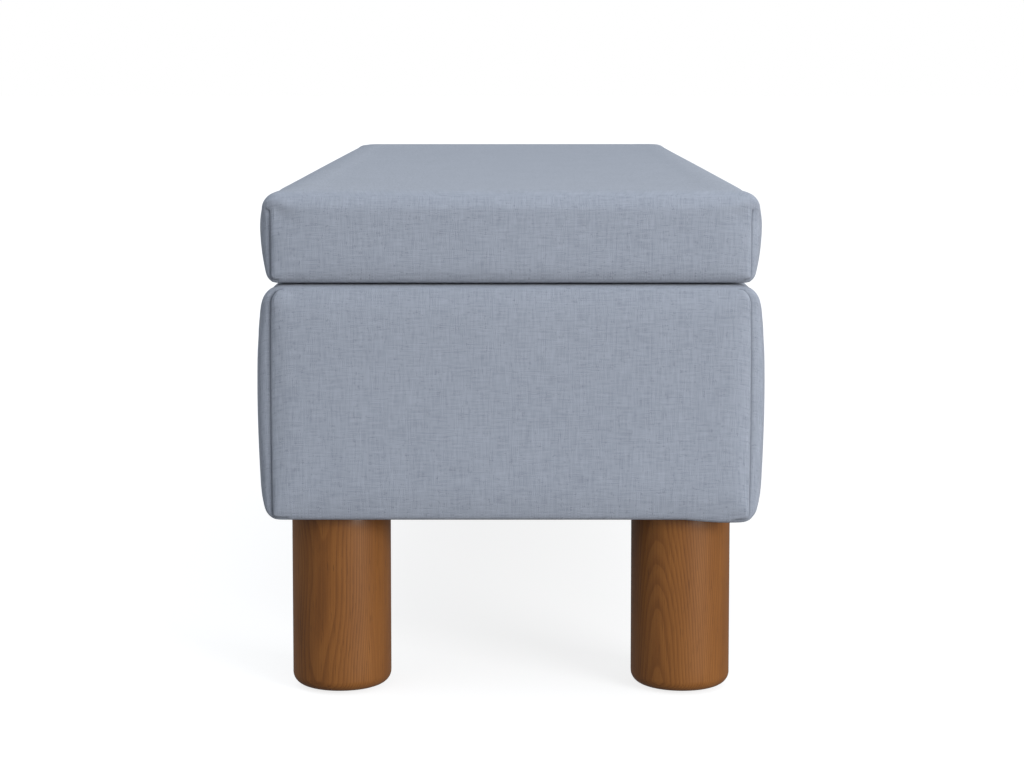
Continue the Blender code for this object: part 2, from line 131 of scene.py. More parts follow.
paper_white.inputs[7].default_value = (1, 1, 1, 1)
sky.links.new(way.outputs["Generated"], split.inputs[0])
sky.links.new(split.outputs["Z"], half.inputs["Value"])
sky.links.new(half.outputs["Result"], ramp.inputs["Fac"])
sky.links.new(seen.outputs["Is Camera Ray"], paper_white.inputs[0])
sky.links.new(ramp.outputs["Color"], paper_white.inputs[6])
sky.links.new(paper_white.outputs[2], sky.nodes["Background"].inputs["Color"])

bpy.ops.mesh.primitive_plane_add(size=FLOOR_SIZE, location=(0, 0, 0))
floor = bpy.context.object
floor.name = "studio_floor"
floor.visible_diffuse = False
floor.visible_glossy = False
paper = bpy.data.materials.new("studio_paper")
paper.use_nodes = True
paper_shader = paper.node_tree.nodes["Principled BSDF"]
for key, value in PAPER.items():
    paper_shader.inputs[key].default_value = value
floor.data.materials.append(paper)


def soft_lamp(name, place, aim, size, power):
    """A square area lamp at a place, turned to face a point."""
    bpy.ops.object.light_add(type="AREA", location=place)
    lamp = bpy.context.object
    lamp.name = name
    lamp.data.size = size
    lamp.data.energy = power
    way = Vector(aim) - Vector(place)
    lamp.rotation_euler = way.to_track_quat("-Z", "Y").to_euler()
    return lamp


soft_lamp("key_lamp", (3.4, 2.6, 1.15), (0.5, 0, 0.2), 1.8, 110)

# %% [markdown]
# ## Small helpers for modelling
#
# Every new piece starts as a primitive at its size and place and is then shaped in edit mode.
# An operator acts on all that is selected, so these helpers clear the selection, open a piece
# for editing, and pick faces or edges by where they are or which way they point.

# %% Modelling helpers


def only(piece):
    """Make one piece the selected and active one."""
    if bpy.context.mode != "OBJECT":
        bpy.ops.object.mode_set(mode="OBJECT")
    bpy.ops.object.select_all(action="DESELECT")
    piece.select_set(True)
    bpy.context.view_layer.objects.active = piece


def start(name, adder, **settings):
    """Add a primitive, name it and put its size and place into its mesh."""
    bpy.ops.object.select_all(action="DESELECT")
    adder(**settings)
    piece = bpy.context.object
    piece.name = name
    piece.data.name = name
    bpy.ops.object.transform_apply(location=True, rotation=True, scale=True)
    return piece


def cube(name, low, high):
    """A box between two corners."""
    low = Vector(low)
    high = Vector(high)
    return start(
        name, bpy.ops.mesh.primitive_cube_add, size=1,
        location=(low + high) / 2, scale=high - low,
    )


def edit(piece, kind="FACE"):
    """Open a piece for editing with nothing selected."""
    only(piece)
    bpy.ops.object.mode_set(mode="EDIT")
    bpy.ops.mesh.select_mode(type=kind)
    bpy.ops.mesh.select_all(action="DESELECT")


def shape_now():
    """The mesh that is open for editing."""
    return bmesh.from_edit_mesh(bpy.context.edit_object.data)


def pick(kind, wanted):
    """Select the corners, edges or faces for which wanted() is true, and nothing else."""
    bpy.ops.mesh.select_mode(type=kind)
    bpy.ops.mesh.select_all(action="DESELECT")
    shape = shape_now()
    shape.normal_update()
    found = {"VERT": shape.verts, "EDGE": shape.edges, "FACE": shape.faces}[kind]
    count = 0
    for element in found:
        if wanted(element):
            element.select = True
            count += 1
    shape.select_flush_mode()
    bmesh.update_edit_mesh(bpy.context.edit_object.data)
    return count


def done(piece, smooth=True):
    """Close a piece after editing and smooth its faces."""
    bpy.ops.object.mode_set(mode="OBJECT")
    if smooth:
        bpy.ops.object.shade_smooth()
    return piece


def apply(piece, kind, **settings):
    """Add a modifier with its settings and apply it at once."""
    only(piece)
    modifier = piece.modifiers.new(kind.title(), kind)
    for key, value in settings.items():
        setattr(modifier, key, value)
    bpy.ops.object.modifier_apply(modifier=modifier.name)


def runs(edge, axis, least=0.0):
    """Whether an edge runs along an axis and is at least so long."""
    way = edge.verts[1].co - edge.verts[0].co
    return way.length > least and abs(way[axis]) > 0.998 * way.length


def middle_of(edge):
    return (edge.verts[0].co + edge.verts[1].co) / 2


def within(place, half_x, half_y):
    """Whether a point lies inside an upright prism round the origin, or 1 mm out."""
    return abs(place.x) < half_x + MM and abs(place.y) < half_y + MM


def triangles(piece):
    piece.data.calc_loop_triangles()
    return len(piece.data.loop_triangles)

# %% [markdown]
# ## The shape under the linen
#
# Both the box and the lid are boxes whose four long edges are rounded first, and whose end
# outlines are rounded after that, because the linen of each end is a separate panel sewn to
# the long ones round its outline. The faces are then cut into squares of about 8 mm, fine
# enough to swell as cloth does. Only parallel edges are subdivided at a time, which cuts
# straight across a strip of four-sided faces and keeps the grid clean.

# %% Rounded box with clean squares
SQUARE = 0.008


def rounded_box(name, low, high, top_round, foot_round, end_round, end_top_round=None, taper=0.0):
    """A box, narrower at its foot by the taper, whose long edges are rounded, and then the
    outlines of its two ends."""
    piece = cube(name, low, high)
    edit(piece, "FACE")
    middle = (low[2] + high[2]) / 2
    pick("FACE", lambda f: f.normal.z < -0.99)
    bpy.ops.transform.resize(value=(1, 1 - taper / high[1], 1), center_override=(0, 0, low[2]))
    pick("EDGE", lambda e: runs(e, 0) and middle_of(e).z > middle)
    bpy.ops.mesh.bevel(offset=top_round, offset_type="OFFSET", segments=6, affect="EDGES")
    pick("EDGE", lambda e: runs(e, 0) and middle_of(e).z < low[2] + 0.1 * MM)
    bpy.ops.mesh.bevel(offset=foot_round, offset_type="OFFSET", segments=4, affect="EDGES")
    done(piece)
    widest = end_top_round or end_round
    weights = piece.data.attributes.new("bevel_weight_edge", "FLOAT", "EDGE")
    for edge in piece.data.edges:
        one, other = (piece.data.vertices[i].co for i in edge.vertices)
        if abs(one.x - other.x) < 0.1 * MM:
            height = (one.z + other.z) / 2
            share = min(1, max(0, (height - high[2] + top_round) / top_round))
            size = end_round + (widest - end_round) * share
            weights.data[edge.index].value = size / widest
    apply(
        piece, "BEVEL", width=widest, segments=4, limit_method="WEIGHT",
        use_clamp_overlap=False,
    )
    return piece


def cut_squares(axis, least, size):
    """Cut every long edge along an axis into pieces of about one size."""
    shape = shape_now()
    length = max(e.calc_length() for e in shape.edges if runs(e, axis, least))
    cuts = max(1, round(length / size) - 1)
    pick("EDGE", lambda e: runs(e, axis, least))
    bpy.ops.mesh.subdivide(number_cuts=cuts)
    return cuts

# %% [markdown]
# The hidden faces matter too. The padding ends where the board or the frame begins, so the
# linen turns round the edge, runs under as a fold with a hem, and the shape closes along the
# wood. Each step of that path is one extrude of a face, resized and moved to its new outline.

# %% Turning a face inwards


def step_to(half_x, half_y, z):
    """Extrude the selected face and put its outline at new half sizes and height."""
    shape = shape_now()
    corners = [v.co for v in shape.verts if v.select]
    now_x = max(abs(c.x) for c in corners)
    now_y = max(abs(c.y) for c in corners)
    now_z = corners[0].z
    bpy.ops.mesh.extrude_region_move()
    ratio = (half_x / now_x, half_y / now_y, 1)
    bpy.ops.transform.resize(value=ratio, center_override=(0, 0, now_z))
    bpy.ops.transform.translate(value=(0, 0, z - now_z))


def fill_end(plane, corner, columns):
    """Fill the open outline at one end with a grid that starts at one top corner."""
    pick("EDGE", lambda e: e.is_boundary and abs(middle_of(e).x - plane) < 0.1 * MM)
    shape = shape_now()
    outline = [v for v in shape.verts if v.select]
    first = max(outline, key=lambda v: 0.5 * corner * v.co.y + 0.87 * v.co.z)
    shape.select_history.clear()
    shape.select_history.add(first)
    bpy.ops.mesh.fill_grid(span=columns, offset=0)
    shape = shape_now()
    return sum(f.calc_area() for f in shape.faces if f.select)


def end_grid(half_x, columns):
    """Replace the flat many-sided face at each end by a grid of squares. The outline may run
    either way round, and only one of the two top corners gives a grid of the right area."""
    for side in (-1, 1):
        plane = side * half_x
        pick("FACE", lambda f: abs(f.calc_center_median().x - plane) < 0.1 * MM)
        shape = shape_now()
        wanted = sum(f.calc_area() for f in shape.faces if f.select)
        bpy.ops.mesh.delete(type="FACE")
        misses = {}
        for corner in (-1, 1):
            misses[corner] = abs(fill_end(plane, corner, columns) - wanted)
            bpy.ops.mesh.delete(type="FACE")
        area = fill_end(plane, min(misses, key=misses.get), columns)
        print("end grid area", round(area, 5), "of", round(wanted, 5), "square metres")

# %% [markdown]
# ## Swelling the padding
#
# Foam presses the linen outwards, and seams and staples hold it back. A cloth simulation does
# the same: pinned corners stay, air pressure pushes the rest, and gravity is off. Twenty
# frames are enough. How far a point may move is then capped softly, in each direction by
# itself, because an end is pulled flat while a long side is free to bulge.

# %% Cloth simulation
LINEN_CLOTH = {
    "quality": 4, "mass": 0.3, "tension_stiffness": 15, "compression_stiffness": 15,
    "shear_stiffness": 5, "bending_stiffness": 0.5, "use_pressure": True,
}
FRAMES = 20


def swell(piece, pinned, pressure, most):
    """Inflate a piece as cloth, holding the pinned corners and capping the movement."""
    group = piece.vertex_groups.new(name="held")
    group.add([v.index for v in piece.data.vertices if pinned(v.co)], 1.0, "REPLACE")
    before = [v.co.copy() for v in piece.data.vertices]
    only(piece)
    cloth = piece.modifiers.new("Cloth", "CLOTH")
    for key, value in LINEN_CLOTH.items():
        setattr(cloth.settings, key, value)
    cloth.settings.uniform_pressure_force = pressure
    cloth.settings.vertex_group_mass = group.name
    cloth.settings.effector_weights.gravity = 0
    cloth.point_cache.frame_end = FRAMES
    for number in range(1, FRAMES + 1):
        scene.frame_set(number)
    bpy.ops.object.modifier_apply(modifier=cloth.name)
    scene.frame_set(1)
    furthest = [0.0, 0.0, 0.0]
    for vertex, old in zip(piece.data.vertices, before):
        moved = vertex.co - old
        for axis in range(3):
            furthest[axis] = max(furthest[axis], abs(moved[axis]))
            moved[axis] = most[axis] * math.tanh(moved[axis] / most[axis])
        vertex.co = old + moved
    piece.vertex_groups.remove(piece.vertex_groups["held"])
    print(piece.name, "pushed out by", [round(v / MM, 1) for v in furthest], "mm before the cap")

# %% [markdown]
# ## The lid's cushion
#
# A slab of foam on a board, wrapped in linen. Its top edges roll over softly, a seam runs down
# each corner, and underneath the linen folds round the board's edge.

# %% Lid cushion
board_low, board_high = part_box("lid_board")
lid_skin_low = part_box("lid_cover")[0]
UNDERSIDE = lid_skin_low.z + 0.2 * MM
LID_END = HALF_LENGTH - 1.8 * MM
LID_SIDE = 0.2200
SEAM_SIDE = 0.2112
LID_TOP = TOP - 0.3 * MM
END_ROUND = 0.0085

cushion = rounded_box(
    "lid_cushion", (-LID_END, -LID_SIDE, UNDERSIDE), (LID_END, LID_SIDE, LID_TOP),
    top_round=0.0150, foot_round=0.0085, end_round=END_ROUND, end_top_round=0.0105, taper=0.0045,
)
edit(cushion)
pick("FACE", lambda f: f.normal.z < -0.99 and f.calc_area() > 0.1)
LID_HEM = (0.584, 0.184)
step_to(*LID_HEM, UNDERSIDE)
pick("VERT", lambda v: all(abs(abs(v.co[i]) - LID_HEM[i]) < 0.1 * MM for i in (0, 1)))
bpy.ops.mesh.bevel(offset=0.005, segments=1, affect="VERTICES")
pick("FACE", lambda f: f.normal.z < -0.99 and len(f.verts) == 8)
step_to(*LID_HEM, board_low.z - 0.2 * MM)
step_to(board_high.x + 0.3 * MM, board_high.y + 0.3 * MM, board_low.z - 0.2 * MM)
step_to(board_high.x + 0.3 * MM, board_high.y + 0.3 * MM, board_high.z + 0.3 * MM)
cuts = [cut_squares(0, 1.0, SQUARE), cut_squares(1, 0.3, SQUARE), cut_squares(2, 0.02, SQUARE)]
end_grid(LID_END, cuts[1] + 5)
done(cushion)
print(cushion.name, "cuts", cuts, "triangles", triangles(cushion))

# %% [markdown]
# The seam at each corner of the lid runs down the middle of its rounded edge. It is held in the
# simulation, and so are everything under the lid and the middle of its top, where the linen is
# glued to the foam. The margins of the top, the ends and the long sides swell. Above the
# shoulder there is no seam, so the linen rolls over the top edge freely. After the simulation
# the long sides are let out a little more round their middle height.

# %% Swell the lid's cushion
MARGIN = 0.045
SEAM_FADE = 0.014
SEAM_BAND = 0.012
PANEL_SLOPE = 0.9
SIDE_BAND = 0.016
SEAM_INSET = (1 - math.cos(math.pi / 4)) * END_ROUND


def at_end_seam(place, half_x):
    """Whether a point lies on the seam round an end panel."""
    return abs(abs(place.x) - half_x + SEAM_INSET) < 0.2 * MM


def lid_held(place):
    in_board = place.z < board_high.z + MM and within(place, board_high.x, board_high.y)
    hidden = place.z < UNDERSIDE + 0.1 * MM or in_board
    glued = (
        abs(place.x) < LID_END - MARGIN and abs(place.y) < LID_SIDE - MARGIN
        and place.z > LID_TOP - MM
    )
    return hidden or glued or (at_end_seam(place, LID_END) and place.z < LID_TOP - 0.022)


def pull_seam(piece, half_x, side, low, high, corner=0.0):
    """Pull the upright seams at the four corners in, fully between two heights and less and
    less past them, as the thread does, and remember them for the groove. The edge of the end
    panel comes in further than its seam, so that the seam can be seen from the end. With a
    corner radius the seam turns in at the top, round the panel's corner."""
    group = piece.vertex_groups.new(name="seam")
    seam_x = half_x - SEAM_INSET
    for vertex in piece.data.vertices:
        place = vertex.co
        if abs(place.x) < seam_x - 0.2 * MM or abs(place.y) < side - SEAM_BAND:
            continue
        past = max(low - place.z, place.z - high, 0) / SEAM_FADE
        share = max(0, 1 - past * past)
        limit = side - (abs(place.x) - seam_x) * PANEL_SLOPE
        into = min(corner, max(0, place.z - high + corner))
        limit -= corner - math.sqrt(corner * corner - into * into)
        place.y -= math.copysign(max(0, abs(place.y) - limit) * share, place.y)
        if at_end_seam(place, half_x):
            group.add([vertex.index], share, "REPLACE")


def belly(piece, *lobes):
    """Let the long sides stand out, or in, round some heights, as the foam is cut: each lobe
    is a height, how far it reaches up and down, and how much it stands out. The seams stay."""
    side = max(v.co.y for v in piece.data.vertices)
    for vertex in piece.data.vertices:
        place = vertex.co
        if abs(place.y) > side - SIDE_BAND and abs(place.x) < LID_END - SEAM_INSET - 0.2 * MM:
            for middle, reach, amount in lobes:
                share = max(0, 1 - ((place.z - middle) / reach) ** 2)
                place.y += amount * share * (1 if place.y > 0 else -1)


pull_seam(cushion, LID_END, SEAM_SIDE, UNDERSIDE, LID_TOP - 0.020)
swell(cushion, lid_held, pressure=4.0, most=(1.7 * MM, 5.6 * MM, 0.9 * MM))
LID_BELLY = (0.411, 0.030, 1.4 * MM)
belly(cushion, LID_BELLY)

# %% [markdown]
# ## The box's upholstery
#
# The box wears a ring of padding. Its linen starts at a hem under the box, climbs the outside,
# turns over the rim and ends in a second hem inside. The long sides lean in a little towards
# the floor, and their foam stands out round the middle and is eased at the shoulder. The four
# upright seams lie just inside each end panel's outline, which has round top corners, and the
# long sides bulge past them.

# %% Box upholstery
frame_low, frame_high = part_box("left_end_panel")
FRAME_END = -frame_low.x
FRAME_SIDE = frame_high.y
PANEL = frame_high.x - frame_low.x
INNER_END = FRAME_END - PANEL
INNER_SIDE = FRAME_SIDE - PANEL
skin_low, skin_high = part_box("box_cover")
BOX_LOW = skin_low.z
RIM = skin_high.z
GAP = 0.3 * MM
CLOTH = 1.5 * MM
BOX_END = HALF_LENGTH - 1.8 * MM
BOX_SIDE = 0.2230
BOX_ROUND = END_ROUND
BOX_HEM = (FRAME_END - 0.024, FRAME_SIDE - 0.024)
FOLD_LOW = RIM - 0.030

wrap = rounded_box(
    "box_upholstery", (-BOX_END, -BOX_SIDE, BOX_LOW), (BOX_END, BOX_SIDE, RIM),
    top_round=0.0205, foot_round=0.0115, end_round=BOX_ROUND, taper=0.004,
)
edit(wrap)
pick("FACE", lambda f: f.normal.z > 0.99 and f.calc_area() > 0.1)
step_to(INNER_END - CLOTH - GAP, INNER_SIDE - CLOTH - GAP, RIM)
step_to(INNER_END - CLOTH - GAP, INNER_SIDE - CLOTH - GAP, FOLD_LOW)
step_to(INNER_END - GAP, INNER_SIDE - GAP, FOLD_LOW)
step_to(INNER_END - GAP, INNER_SIDE - GAP, frame_high.z + GAP)
step_to(FRAME_END + GAP, FRAME_SIDE + GAP, frame_high.z + GAP)
bpy.ops.mesh.delete(type="FACE")
pick("FACE", lambda f: f.normal.z < -0.99 and f.calc_area() > 0.1)
step_to(*BOX_HEM, BOX_LOW)
step_to(*BOX_HEM, frame_low.z - GAP)
step_to(FRAME_END + GAP, FRAME_SIDE + GAP, frame_low.z - GAP)
bpy.ops.mesh.delete(type="FACE")
pick("EDGE", lambda e: e.is_boundary)
bpy.ops.mesh.bridge_edge_loops()
cuts = [cut_squares(0, 1.0, SQUARE), cut_squares(1, 0.3, SQUARE), cut_squares(2, 0.1, SQUARE)]
end_grid(BOX_END, cuts[1] + 5)
done(wrap)
print(wrap.name, "cuts", cuts, "triangles", triangles(wrap))


def box_held(place):
    inside = within(place, FRAME_END, FRAME_SIDE)
    flat = place.z < BOX_LOW + 0.1 * MM or place.z > RIM - 0.1 * MM
    return inside or flat or at_end_seam(place, BOX_END)


BOX_BELLY = (0.250, 0.080, 2.2 * MM)
BOX_SHOULDER = (0.351, 0.016, -2.4 * MM)
belly(wrap, BOX_BELLY, BOX_SHOULDER)
pull_seam(wrap, BOX_END, SEAM_SIDE, BOX_LOW, RIM, corner=0.017)
swell(wrap, box_held, pressure=4.0, most=(1.9 * MM, 4.1 * MM, 1.0 * MM))

# %% [markdown]
# ## Finer linen, and its grain
#
# One subdivision makes the cloth's squares half as big and rounds them off. The hems and the
# hidden steps along the wood must stay sharp, so their edges are creased first. Then every
# face gets its place on the cloth, in metres, as a texture map: the cloth runs over the top
# and down each side without a break, and jumps only at the seams, as the real panels do.

# %% Subdivide and lay out the cloth


def refine(piece, sharp):
    """Crease the edges between sharp points, then subdivide once."""
    creases = piece.data.attributes.new("crease_edge", "FLOAT", "EDGE")
    corners = piece.data.vertices
    marked = [
        1.0 if all(sharp(corners[i].co) for i in edge.vertices) else 0.0
        for edge in piece.data.edges
    ]
    creases.data.foreach_set("value", marked)
    apply(piece, "SUBSURF", levels=1, render_levels=1)
    for name in ("crease_edge", "bevel_weight_edge"):
        piece.data.attributes.remove(piece.data.attributes[name])


def sink_seam(piece, groove, lip):
    """Sink the sewn line into a groove, and raise the cloth just beside it a little."""
    mesh = piece.data
    number = piece.vertex_groups["seam"].index
    normals = [vertex.normal.copy() for vertex in mesh.vertices]
    sewn = 0
    # The marked line is darkened later in the linen's colour: painted shade in the seam's groove.
    line = mesh.attributes.new("seam_line", "FLOAT", "POINT")
    for vertex, normal in zip(mesh.vertices, normals):
        share = max((g.weight for g in vertex.groups if g.group == number), default=0)
        if share > 0.9:
            vertex.co -= normal * groove
            line.data[vertex.index].value = 1.0
            sewn += 1
        elif share > 0.2:
            vertex.co += normal * lip * (1 - abs(share - 0.5) / 0.5)
    piece.vertex_groups.clear()
    print(piece.name, "has", sewn, "points along its seams")


def lay_out_cloth(piece, top):
    """Give each face corner its place on the cloth, unfolded downwards from a height."""
    mesh = piece.data
    count = len(mesh.loops)
    places = np.empty(len(mesh.vertices) * 3)
    mesh.vertices.foreach_get("co", places)
    corner = np.empty(count, int)
    mesh.loops.foreach_get("vertex_index", corner)
    sizes = np.empty(len(mesh.polygons), int)
    mesh.polygons.foreach_get("loop_total", sizes)
    normals = np.empty(len(mesh.polygons) * 3)
    mesh.polygons.foreach_get("normal", normals)
    facing = np.repeat(np.argmax(np.abs(normals.reshape(-1, 3)), axis=1), sizes)
    x, y, z = places.reshape(-1, 3)[corner].T
    down = top - z
    u = x + np.where(facing == 1, 0, np.sign(x) * down)
    v = y + np.where(facing == 0, 0, np.sign(y) * down)
    layer = mesh.uv_layers.new(name="cloth")
    layer.data.foreach_set("uv", np.stack([u, v], 1).ravel())
    return layer


def lid_sharp(place):
    in_board = place.z < board_high.z + MM and within(place, board_high.x, board_high.y)
    return place.z < board_low.z + 0.1 * MM or in_board


def box_sharp(place):
    inner = within(place, FRAME_END, FRAME_SIDE)
    return inner and (place.z < RIM - 0.1 * MM or abs(place.y) < INNER_SIDE)


refine(cushion, lid_sharp)
refine(wrap, box_sharp)
sink_seam(cushion, 1.2 * MM, 0.35 * MM)
sink_seam(wrap, 1.5 * MM, 0.35 * MM)
lay_out_cloth(cushion, TOP)
lay_out_cloth(wrap, RIM)
print("triangles after subdivision:", triangles(cushion), triangles(wrap))

# %% [markdown]
# The three hinges are let in between the lid and the box: the leaves lie on the wood, and the
# linen is cut and pressed back round them. So no cloth may be lower than a lid leaf's top, or
# higher than a box leaf's underside, within a hinge's length. Behind the leaves the knuckle
# needs a little more room. At the camera's end the linen also droops a little in front of the
# legs, most of all under the corner on the hinge side.

# %% Room for the hinges, and a slack corner
hinges = [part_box(n) for n in sorted(nodes) if n.endswith("_box_leaf")]
hinge_x = [(low.x + high.x) / 2 for low, high in hinges]
LEAF_HALF = (hinges[0][1].x - hinges[0][0].x) / 2
LEAF_FRONT = hinges[0][0].y
BOX_LEAF_LOW = frame_high.z
LID_LEAF_TOP = board_low.z
pin_low, pin_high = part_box("hinge_middle_pin")
PIN_Y = (pin_low.y + pin_high.y) / 2
PIN_Z = (pin_low.z + pin_high.z) / 2
KNUCKLE = 0.004
moved = {"cushion": 0, "wrap": 0}
for piece, key, side in ((cushion, "cushion", 1), (wrap, "wrap", -1)):
    for vertex in piece.data.vertices:
        place = vertex.co
        near = min(abs(place.x - x) for x in hinge_x) < LEAF_HALF + 4.5 * MM
        if not near or place.y < LEAF_FRONT - 4 * MM:
            continue
        wall = LID_LEAF_TOP - 0.1 * MM if side > 0 else BOX_LEAF_LOW + 0.1 * MM
        if place.y > PIN_Y - KNUCKLE - 2 * MM:
            wall = PIN_Z + side * (KNUCKLE + 0.5 * MM)
        if side * (wall - place.z) > 0 and abs(place.z - wall) < 12 * MM:
            place.z = wall
            moved[key] += 1

SAG = 2.8 * MM
DROOP = 1.2 * MM
SAG_FROM = 0.152
SAG_WIDTH = 0.084
SAG_HEIGHT = 0.030
ROLL = 0.014
ROLL_FADE = 0.008
for vertex in wrap.data.vertices:
    place = vertex.co
    if place.x > BOX_END - ROLL and place.z < BOX_LOW + SAG_HEIGHT:
        share = min(1, max(0, (place.y - SAG_FROM) / SAG_WIDTH))
        across = max(0, math.sin(share * math.pi)) ** 1.2
        down = (1 - max(0, place.z - BOX_LOW) / SAG_HEIGHT) ** 2
        out = min(1, (place.x - BOX_END + ROLL) / ROLL_FADE)
        place.z -= (SAG * across + DROOP) * down * out
print("points moved for the hinges:", moved)

# %% [markdown]
# ## Writing a finish
#
# A finish is a small network of shader nodes. To keep the sums readable, a socket is wrapped in
# a class whose operators add Math nodes, so that `1 - mask` is a node too. Everything else is
# added by one method that takes the kind of node, its settings and what goes into it.

# %% Shader helpers


class Wire:
    """An output of a node that can be used in a sum."""

    def __init__(self, tree, socket):
        self.tree = tree
        self.socket = socket

    def sum(self, operation, *values):
        node = self.tree.nodes.new("ShaderNodeMath")
        node.operation = operation
        for socket, value in zip(node.inputs, values):
            if isinstance(value, Wire):
                self.tree.links.new(value.socket, socket)
            else:
                socket.default_value = value
        return Wire(self.tree, node.outputs[0])

    def __add__(self, other):
        return self.sum("ADD", self, other)

    __radd__ = __add__

    def __mul__(self, other):
        return self.sum("MULTIPLY", self, other)

    __rmul__ = __mul__

    def __sub__(self, other):
        return self.sum("SUBTRACT", self, other)

    def __rsub__(self, other):
        return self.sum("SUBTRACT", other, self)

    def __truediv__(self, other):
        return self.sum("DIVIDE", self, other)

    def __pow__(self, power):
        return self.sum("POWER", self, power)

    def __abs__(self):
        return self.sum("ABSOLUTE", self)

    def sine(self):
        return self.sum("SINE", self)

    def whole(self):
        return self.sum("FLOOR", self)

    def part(self):
        return self.sum("FRACT", self)

    def between(self, low, high):
        """0 below low, 1 above high, and a smooth climb from one to the other."""
        node = self.tree.nodes.new("ShaderNodeMapRange")
        node.interpolation_type = "SMOOTHSTEP"
        self.tree.links.new(self.socket, node.inputs["Value"])
        node.inputs["From Min"].default_value = low
        node.inputs["From Max"].default_value = high
        return Wire(self.tree, node.outputs["Result"])


class Finish:
    """A material with one main shader. Constants go straight on the shader's sockets."""

    def __init__(self, name, **constants):
        self.material = bpy.data.materials.new(name)
        self.material.use_nodes = True
        self.tree = self.material.node_tree
        self.shader = self.tree.nodes["Principled BSDF"]
        for key, value in constants.items():
            self.shader.inputs[key.replace("_", " ")].default_value = value

    def node(self, kind, settings=None, inputs=None, output=0):
        """Add a node: its settings first, then the values or links of its sockets."""
        node = self.tree.nodes.new("ShaderNode" + kind)
        for key, value in (settings or {}).items():
            setattr(node, key, value)
        for key, value in (inputs or {}).items():
            if isinstance(value, Wire):
                self.tree.links.new(value.socket, node.inputs[key])
            else:
                node.inputs[key].default_value = value
        return Wire(self.tree, node.outputs[output])

    def place(self):
        """The point's place on the object, in metres, as three values."""
        return self.split(self.node("TexCoord", output="Object"))

    def split(self, vector):
        node = self.node("SeparateXYZ", inputs={0: vector})
        outputs = node.socket.node.outputs
        return [Wire(self.tree, outputs[i]) for i in range(3)]

    def noise(self, x, y, z=0.0, scale=1.0, detail=2.0, roughness=0.5):
        point = self.node("CombineXYZ", inputs={0: x, 1: y, 2: z})
        inputs = {"Vector": point, "Scale": scale, "Detail": detail, "Roughness": roughness}
        return self.node("TexNoise", inputs=inputs)

    def mix(self, share, one, other):
        """Blend two colours."""
        return self.node("Mix", {"data_type": "RGBA"}, {0: share, 6: one, 7: other}, output=2)

    def feed(self, colour, roughness, height, distance, strength=1.0):
        """Give the shader its colour and roughness, and a relief of a height."""
        inputs = {"Height": height, "Distance": distance, "Strength": strength}
        relief = self.node("Bump", inputs=inputs)
        for key, wire in (("Base Color", colour), ("Roughness", roughness), ("Normal", relief)):
            self.tree.links.new(wire.socket, self.shader.inputs[key])

    def put_on(self, *pieces):
        for piece in pieces:
            piece.data.materials.clear()
            piece.data.materials.append(self.material)

# %% [markdown]
# ## Linen
#
# The cloth is a plain weave of slightly uneven blue-grey and paler threads, a little under a
# millimetre apart. Upright threads pass over and under level ones. Each thread has its own
# tone, which drifts along its length, and here and there a thick dark slub shows. The gaps
# between the threads are painted a little darker than their crowns, which is painted shade.
# From a distance this averages to a soft cross-hatch, which is what makes linen look like
# linen. The seams were marked on the mesh when they were sunk, so the finish can darken the
# sewn line: that dark line is painted shade in the seam's groove.

# %% Linen


def weave(name, base, pale, thread, contrast, slub, relief, **constants):
    """A plain weave read from the piece's cloth map."""
    finish = Finish(name, **constants)
    u, v, _ = finish.split(finish.node("UVMap", {"uv_map": "cloth"}))
    drift_u = finish.noise(u, v, scale=45.0, detail=1.0)
    drift_v = finish.noise(u, v, 3.7, scale=45.0, detail=1.0)
    across = u / thread + drift_u * 1.6
    along = v / thread + drift_v * 1.6
    warp = abs((across * math.pi).sine())
    weft = abs((along * math.pi).sine())
    over = ((across.whole() + along.whole()) * 0.5).part() * 2
    warp_tone = finish.noise(across.whole() * 0.71, v * 55.0, detail=2.0)
    weft_tone = finish.noise(u * 55.0, along.whole() * 0.71, 9.1, detail=2.0)
    warp_slub = finish.noise(across.whole() * 0.53, v * 150.0, 4.0).between(0.62, 0.72)
    weft_slub = finish.noise(u * 150.0, along.whole() * 0.53, 6.0).between(0.62, 0.72)
    under = 1 - over
    tone = over * warp_tone + under * weft_tone
    marks = over * warp_slub + under * weft_slub
    height = over * (warp ** 0.7) * (weft ** 0.4 * 0.5 + 0.5)
    height = height + under * (weft ** 0.7) * (warp ** 0.4 * 0.5 + 0.5)
    cloud = finish.noise(u, v, 1.3, scale=16.0, detail=3.0)
    # The height term makes the thread crowns paler and the gaps between threads darker: painted shade
    # between the threads.
    light = (tone - 0.5) * contrast + (cloud - 0.5) * 0.12 + height * 0.10 + 0.45
    colour = finish.mix(light.between(0.0, 1.0), base, pale)
    colour = finish.mix(marks * slub, colour, tuple(0.62 * c for c in base[:3]) + (1.0,))
    # The sewn line is darkened in the colour, which is painted shade in the seam's groove; the bump
    # also sinks it.
    seam = finish.node("Attribute", {"attribute_name": "seam_line"}, output="Fac") ** 3
    colour = finish.mix(seam * 0.6, colour, tuple(0.35 * c for c in base[:3]) + (1.0,))
    finish.feed(colour, 0.97 - height * 0.12, height + marks * 0.4 - seam * 3.0, relief)
    return finish


linen = weave(
    "linen", (0.252, 0.280, 0.338, 1), (0.440, 0.475, 0.548, 1), thread=0.85 * MM,
    contrast=1.2, slub=0.6, relief=0.12 * MM, Sheen_Weight=0.18, Sheen_Roughness=0.5,
    Specular_IOR_Level=0.25,
)
linen.put_on(cushion, wrap)
print("linen has", len(linen.tree.nodes), "nodes")

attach(cushion, "lid")
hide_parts("lid_cover", "lid_foam")
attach(wrap, "box")
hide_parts("box_cover", "front_foam", "rear_foam", "left_end_foam", "right_end_foam")

